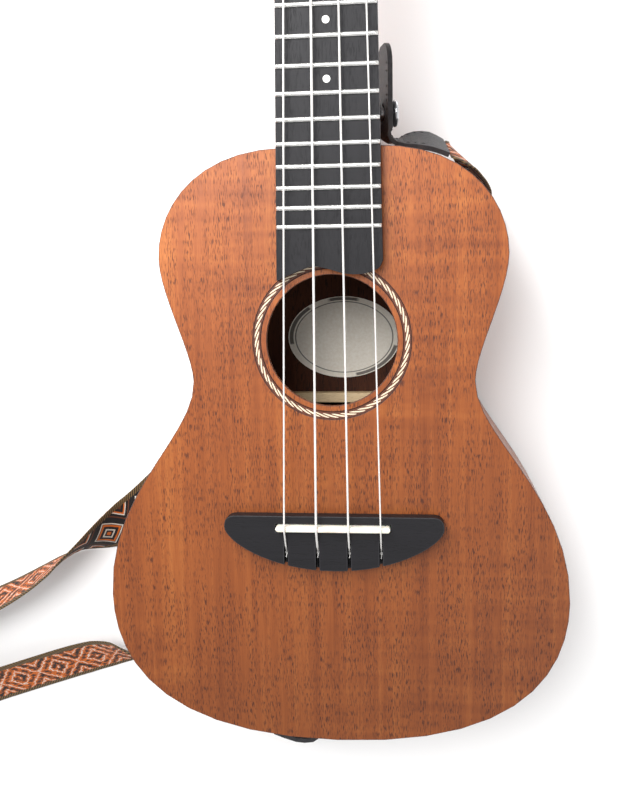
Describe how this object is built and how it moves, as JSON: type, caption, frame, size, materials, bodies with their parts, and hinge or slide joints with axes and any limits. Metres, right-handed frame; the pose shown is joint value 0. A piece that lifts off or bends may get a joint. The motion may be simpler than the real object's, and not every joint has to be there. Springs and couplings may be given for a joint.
{
  "type": "concert ukulele with shoulder strap",
  "caption": "Concert ukulele lying on its back, with round soundhole, rope rosette, half-moon bridge, geared tuners and a woven shoulder strap.",
  "frame": {"origin": "on the back plate's outer face, on the centreline, straight under the saddle", "axes": "+Z out of the soundboard, +Y towards the headstock, +X towards the treble side"},
  "size_m": [0.3784, 0.6513, 0.083],
  "materials": {
    "mahogany": "satin",
    "spruce": "matt",
    "rosette_inlay": "satin",
    "label_paper": "matt",
    "dark_wood": "satin",
    "fret_metal": "polished",
    "bone": "satin",
    "nylon": "gloss",
    "chrome": "polished",
    "tuner_button": "gloss",
    "webbing": "matt",
    "leather": "satin"
  },
  "bodies": {
    "instrument": {"soundboard": "mahogany", "back_plate": "mahogany", "rib_bass": "mahogany", "rib_treble": "mahogany", "neck_block": "mahogany", "tail_block": "mahogany", "neck": "mahogany", "lining_top_bass": "spruce", "lining_top_treble": "spruce", "lining_back_bass": "spruce", "lining_back_treble": "spruce", "top_brace_upper": "spruce", "top_brace_lower": "spruce", "bridge_plate": "spruce", "fan_brace": "spruce", "back_brace_upper": "spruce", "back_brace_lower": "spruce", "rosette": "rosette_inlay", "label": "label_paper", "heel_cap": "dark_wood", "head_plate": "dark_wood", "fingerboard": "dark_wood", "bridge": "dark_wood", "frets": "fret_metal", "nut": "bone", "saddle": "bone", "string_g": "nylon", "string_c": "nylon", "string_e": "nylon", "string_a": "nylon", "tuner_g_plate": "chrome", "tuner_g_bushing": "chrome", "tuner_c_plate": "chrome", "tuner_c_bushing": "chrome", "tuner_e_plate": "chrome", "tuner_e_bushing": "chrome", "tuner_a_plate": "chrome", "tuner_a_bushing": "chrome", "strap": "webbing", "strap_tab_heel": "leather", "strap_tab_tail": "leather", "strap_button_heel": "chrome", "strap_button_tail": "chrome"},
    "peg_g": {"tuner_g_button": "tuner_button", "tuner_g_worm": "chrome"},
    "post_g": {"tuner_g_gear": "chrome", "tuner_g_post": "chrome"},
    "peg_c": {"tuner_c_button": "tuner_button", "tuner_c_worm": "chrome"},
    "post_c": {"tuner_c_gear": "chrome", "tuner_c_post": "chrome"},
    "peg_e": {"tuner_e_button": "tuner_button", "tuner_e_worm": "chrome"},
    "post_e": {"tuner_e_gear": "chrome", "tuner_e_post": "chrome"},
    "peg_a": {"tuner_a_button": "tuner_button", "tuner_a_worm": "chrome"},
    "post_a": {"tuner_a_gear": "chrome", "tuner_a_post": "chrome"}
  },
  "joints": [
    {"name": "peg_g_turn", "type": "hinge", "parent": "instrument", "child": "peg_g", "pos_m": [-0.018, 0.42437, 0.04161], "axis": [1, 0, 0], "continuous": true},
    {"name": "post_g_turn", "type": "hinge", "parent": "instrument", "child": "post_g", "pos_m": [-0.018, 0.42203, 0.06145], "axis": [0, 0.225, 0.9744], "continuous": true},
    {"name": "peg_c_turn", "type": "hinge", "parent": "instrument", "child": "peg_c", "pos_m": [-0.018, 0.46725, 0.03172], "axis": [1, 0, 0], "continuous": true},
    {"name": "post_c_turn", "type": "hinge", "parent": "instrument", "child": "post_c", "pos_m": [-0.018, 0.4649, 0.05155], "axis": [0, 0.225, 0.9744], "continuous": true},
    {"name": "peg_e_turn", "type": "hinge", "parent": "instrument", "child": "peg_e", "pos_m": [0.018, 0.46725, 0.03172], "axis": [1, 0, 0], "continuous": true},
    {"name": "post_e_turn", "type": "hinge", "parent": "instrument", "child": "post_e", "pos_m": [0.018, 0.4649, 0.05155], "axis": [0, 0.225, 0.9744], "continuous": true},
    {"name": "peg_a_turn", "type": "hinge", "parent": "instrument", "child": "peg_a", "pos_m": [0.018, 0.42437, 0.04161], "axis": [1, 0, 0], "continuous": true},
    {"name": "post_a_turn", "type": "hinge", "parent": "instrument", "child": "post_a", "pos_m": [0.018, 0.42203, 0.06145], "axis": [0, 0.225, 0.9744], "continuous": true}
  ],
  "couplings": [
    {"joint": "post_g_turn", "follows": "peg_g_turn", "ratio": 0.071429},
    {"joint": "post_c_turn", "follows": "peg_c_turn", "ratio": 0.071429},
    {"joint": "post_e_turn", "follows": "peg_e_turn", "ratio": 0.071429},
    {"joint": "post_a_turn", "follows": "peg_a_turn", "ratio": 0.071429}
  ]
}
